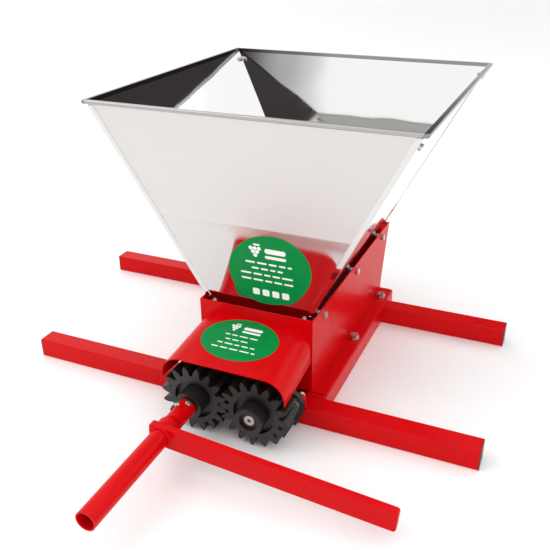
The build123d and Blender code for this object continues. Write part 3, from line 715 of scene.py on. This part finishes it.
handle_points = arc(handle_radius + 0.3 * MM, handle[1].y)
bead("weld_handle", handle_points, (0, 1, 0), 2.1 * MM, "drive", closed=True, lumps=0.3)
boss_points = arc(boss_radius, arm[1].y, math.radians(-70), math.radians(62), 60, True)
bead("weld_boss", boss_points, (0, 1, 0), 1.8 * MM, "drive", lumps=0.25)

lug_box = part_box("bearing_lugs")
bar_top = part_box("front_crossbar")[1].z
LUG_WIDTH = 20.0 * MM
for label, x0 in (("left", lug_box[0].x), ("right", lug_box[1].x - LUG_WIDTH)):
    x1 = x0 + LUG_WIDTH
    corners = [(x0, lug_box[0].y + 1.5 * MM, bar_top), (x0, lug_box[1].y, bar_top)]
    corners += [(x1, lug_box[1].y, bar_top), (x1, lug_box[0].y + 1.5 * MM, bar_top)]
    lug_points, _ = walk(corners, 0.8 * MM)
    bead(f"weld_lug_{label}", lug_points, (0, 0, 1), 1.4 * MM, "frame")
print("crank and lug beads done")

# %% [markdown]
# ## Print on the labels
#
# The print is generic: a bunch of round berries with a stalk, some bars in place of lines of
# words, and small squares. Ink stands a hair above the film. Each mark is a thin plate with an
# outline made from a formula, laid in the plane of its label.

# %% Plates in a label's plane
INK = 0.12 * MM


def oval(cx, cy, rx, ry, count=28):
    """Ellipse: centre + (rx cos a, ry sin a)."""
    a = np.linspace(0, 2 * np.pi, count, endpoint=False)
    return np.stack([cx + rx * np.cos(a), cy + ry * np.sin(a)], axis=1)


def bar(cx, cy, width, height, count=28):
    """Bar with round ends: a circle of half its height, split and moved apart along the bar."""
    r = height / 2
    a = np.linspace(0, 2 * np.pi, count, endpoint=False) + np.pi / count
    return np.stack(
        [cx + (width / 2 - r) * np.sign(np.cos(a)) + r * np.cos(a), cy + r * np.sin(a)], axis=1
    )


def square(cx, cy, size, count=28):
    """Square with soft corners: a superellipse of power 8."""
    a = np.linspace(0, 2 * np.pi, count, endpoint=False)
    c, s = np.cos(a), np.sin(a)
    r = size / 2 / (np.abs(c) ** 8 + np.abs(s) ** 8) ** (1 / 8)
    return np.stack([cx + r * c, cy + r * s], axis=1)


def print_marks(name, outlines, origin, across, up, body):
    """
    Thin plates on a plane. A corner (u, v) of an outline goes to origin + u * across + v * up,
    once on the plane and once an ink's thickness above it. One flat face closes top and bottom.
    """
    across, up = np.asarray(across, float), np.asarray(up, float)
    out = np.cross(across, up)
    outlines = np.asarray(outlines)
    marks, count = outlines.shape[:2]
    flat = origin + outlines[..., :1] * across + outlines[..., 1:] * up
    vertices = np.stack([flat, flat + INK * out], axis=1).reshape(-1, 3)
    first = (np.arange(marks) * 2 * count)[:, None]
    column = np.arange(count)[None, :]
    following = (column + 1) % count
    walls = np.stack(
        [first + column, first + following, first + count + following, first + count + column],
        axis=-1,
    ).reshape(-1, 4)
    tops = (first + count + column).tolist()
    bottoms = (first + column[:, ::-1]).tolist()
    faces = walls.tolist() + tops + bottoms
    return make_piece(name, vertices, faces, white_ink, body, False)


BERRIES = [(-1, 1), (0, 1), (1, 1), (-0.5, 0.1), (0.5, 0.1), (0, -0.8)]


def label_marks(half_width, half_height, rows, squares, number):
    """Berries and two thick bars at the top, rows of short bars, then a row of squares."""
    rng = np.random.default_rng(number)
    r = half_height * 0.052
    icon_x, icon_y = -half_width * 0.30, half_height * 0.50
    outlines = [oval(icon_x + 2.1 * r * x, icon_y + 2.1 * r * y, r, r) for x, y in BERRIES]
    outlines.append(bar(icon_x + r, icon_y + 4.1 * r, 3.4 * r, 0.9 * r))
    outlines.append(bar(half_width * 0.18, icon_y + 1.4 * r, half_width * 0.5, 2.6 * r))
    outlines.append(bar(half_width * 0.18, icon_y - 1.9 * r, half_width * 0.5, 1.6 * r))
    for share, height in rows:
        y = half_height * height
        x = -half_width * share
        while x < half_width * share - 2 * r:
            width = min(half_width * rng.uniform(0.12, 0.26), half_width * share - x)
            outlines.append(bar(x + width / 2, y, width, half_height * 0.05))
            x += width + half_width * 0.05
    for i in range(squares):
        x = half_width * 0.24 * (i - (squares - 1) / 2)
        outlines.append(square(x, -half_height * 0.66, half_width * 0.17))
    return outlines


# %% Put the print on both labels
TOWARDS_READER = np.array((0.0, -1.0, 0.5))


def on_label(node, rows, squares, number):
    """Finds the label's plane from how its points spread, then lays print on it, level along X."""
    mesh = parts[node].data
    points = np.empty(len(mesh.vertices) * 3)
    mesh.vertices.foreach_get("co", points)
    points = points.reshape(-1, 3)
    middle = (points.min(axis=0) + points.max(axis=0)) / 2
    spread = points - middle
    _, vectors = np.linalg.eigh(spread.T @ spread)
    out = vectors[:, 0]
    out = out * np.sign(out @ TOWARDS_READER)
    across = np.array((1.0, 0.0, 0.0))
    up = np.cross(out, across)
    half_width = (points @ across).max() - middle[0]
    half_height = ((points - middle) @ up).max()
    surface = middle + out * ((points - middle) @ out).max()
    marks = label_marks(half_width, half_height, rows, squares, number)
    return print_marks(f"{node}_print", marks, surface, across, up, "frame"), len(marks)


guard_rows = [(0.44, 0.16), (0.36, -0.06), (0.50, -0.28), (0.58, -0.50)]
hopper_rows = [(0.56, 0.20), (0.42, 0.04), (0.70, -0.13), (0.70, -0.30)]
for node, rows, squares, number in (
    ("guard_label", guard_rows, 0, 3),
    ("hopper_label", hopper_rows, 4, 5),
):
    piece, count = on_label(node, rows, squares, number)
    print(piece.name, "has", count, "marks")

# %% [markdown]
# ## Studio
#
# A mirror shows its surroundings, so the look of the hopper is made by what stands round it: a
# white floor and a bright ring above the horizon for the light faces, and four soft dark patches
# for the black streaks that make polished steel look like steel. The floor is plain and pale.

# %% Floor
def stage_card(name, centre, across, up, material):
    """Flat card: the four corners centre +- across +- up."""
    centre, across, up = (np.asarray(v, float) for v in (centre, across, up))
    signs = np.array([(-1, -1), (1, -1), (1, 1), (-1, 1)])
    corners = centre + signs[:, :1] * across + signs[:, 1:] * up
    mesh = bpy.data.meshes.new(name)
    mesh.from_pydata(corners.tolist(), [], [(0, 1, 2, 3)])
    mesh.materials.append(material)
    card = bpy.data.objects.new(name, mesh)
    bpy.context.scene.collection.objects.link(card)
    card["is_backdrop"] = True
    return card


paper, tree, place = start_material("studio_paper_white_matt")
fibre = add(tree, "ShaderNodeTexNoise", {"Vector": place, "Scale": 1 / (40 * MM), "Detail": 3.0})
white = add(
    tree,
    "ShaderNodeMix",
    {"Factor": fibre.outputs["Fac"], 6: colour("#F6F6F6"), 7: colour("#FAFAFA")},
    data_type="RGBA",
)
shader = add(tree, "ShaderNodeBsdfPrincipled", {"Base Color": white.outputs[2], "Roughness": 0.5})
finish_material(tree, shader)
floor_z = cad_box[0][2]
stage_card("floor", (0, 1.0, floor_z), (6, 0, 0), (0, 6, 0), paper)

print("floor at", round(floor_z, 4), "m")

# %% Lights and surroundings


def softbox(name, place, aim, width, height, watts):
    """Rectangular area light at a place, turned to face the point it is aimed at."""
    data = bpy.data.lights.new(name, "AREA")
    data.shape = "RECTANGLE"
    data.size, data.size_y, data.energy = width, height, watts
    lamp = bpy.data.objects.new(name, data)
    bpy.context.scene.collection.objects.link(lamp)
    lamp.location = place
    lamp.rotation_euler = (Vector(aim) - Vector(place)).to_track_quat("-Z", "Y").to_euler()
    return lamp


target = (0.0, 0.15, 0.15)
softbox("key", (-1.4, -0.9, 2.0), target, 1.6, 1.6, 14)
softbox("fill", (2.0, -1.0, 1.6), target, 1.6, 1.6, 5)
softbox("top", (0.2, 0.9, 2.6), target, 2.6, 2.0, 12)

world = bpy.data.worlds.new("studio_air")
bpy.context.scene.world = world
world.use_nodes = True
air = world.node_tree
air.nodes.clear()
SKY_WHITE, SKY_DARK = "#FFFFFF", "#383435"
# Each patch: its direction, then the cosines where its soft edge starts and where it is all dark.
DARK_PATCHES = [
    ((0.47, 0.86, 0.20), 0.960, 0.978),
    ((0.20, -0.88, 0.44), 0.988, 0.994),
    ((-0.09, 0.88, 0.47), 0.945, 0.975),
    ((-0.62, -0.74, 0.24), 0.935, 0.972),
]

way = add(air, "ShaderNodeTexCoord").outputs["Generated"]
lift = add(air, "ShaderNodeSeparateXYZ", {"Vector": way}).outputs["Z"]
low = add(
    air, "ShaderNodeMapRange", {"Value": lift, "From Min": 0.66, "From Max": 0.58}
).outputs[0]
shade = None
for side, soft_start, soft_end in DARK_PATCHES:
    towards = add(air, "ShaderNodeVectorMath", {0: way, 1: side}, operation="DOT_PRODUCT")
    lobe = add(
        air,
        "ShaderNodeMapRange",
        {"Value": towards.outputs["Value"], "From Min": soft_start, "From Max": soft_end},
    ).outputs[0]
    shade = (
        lobe
        if shade is None
        else add(air, "ShaderNodeMath", {0: shade, 1: lobe}, operation="MAXIMUM").outputs[0]
    )
dark = add(air, "ShaderNodeMath", {0: shade, 1: low}, operation="MULTIPLY").outputs[0]
studio = add(
    air,
    "ShaderNodeMix",
    {"Factor": dark, 6: colour(SKY_WHITE), 7: colour(SKY_DARK)},
    data_type="RGBA",
)
ring_low = add(
    air,
    "ShaderNodeMapRange",
    {"Value": lift, "From Min": 0.3, "From Max": 0.45, "To Min": 1.1, "To Max": 1.35},
).outputs[0]
ring_high = add(
    air,
    "ShaderNodeMapRange",
    {"Value": lift, "From Min": 0.55, "From Max": 0.8, "To Min": 1.0, "To Max": 0.8},
).outputs[0]
ring = add(air, "ShaderNodeMath", {0: ring_low, 1: ring_high}, operation="MULTIPLY").outputs[0]
sky = add(air, "ShaderNodeBackground", {"Color": studio.outputs[2], "Strength": ring})
add(air, "ShaderNodeOutputWorld", {"Surface": sky.outputs[0]})
bpy.context.scene.view_settings.view_transform = "Standard"
print("lights on")

# %% [markdown]
# ## Camera
#
# The camera looks down on the front right, from about a metre away, with a normal lens.

# %% Camera
CAMERA_PLACE = Vector((0.3909, -0.7453, 0.6237))
YAW, PITCH, ROLL = math.radians(-23.96), math.radians(26.56), math.radians(-0.65)
camera_data = bpy.data.cameras.new("camera")
camera_data.sensor_width = 36.0
camera_data.lens = 46.2
camera = bpy.data.objects.new("camera", camera_data)
bpy.context.scene.collection.objects.link(camera)
forward = Vector((math.sin(YAW) * math.cos(PITCH), math.cos(YAW) * math.cos(PITCH), -math.sin(PITCH)))
level = Vector((math.cos(YAW), -math.sin(YAW), 0.0))
upright = level.cross(forward)
right = math.cos(ROLL) * level + math.sin(ROLL) * upright
up = -math.sin(ROLL) * level + math.cos(ROLL) * upright
turn = Matrix((right, up, -forward)).transposed().to_4x4()
camera.matrix_world = Matrix.Translation(CAMERA_PLACE) @ turn
bpy.context.scene.camera = camera
print("camera", [round(v, 3) for v in CAMERA_PLACE], "lens", camera_data.lens)

# %% Size of the CAD parts and of all that is drawn
seen_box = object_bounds()
sizes = {
    name: [list(map(float, corner)) for corner in box]
    for name, box in (("cad", cad_box), ("visual", seen_box))
}
print("size", sizes)
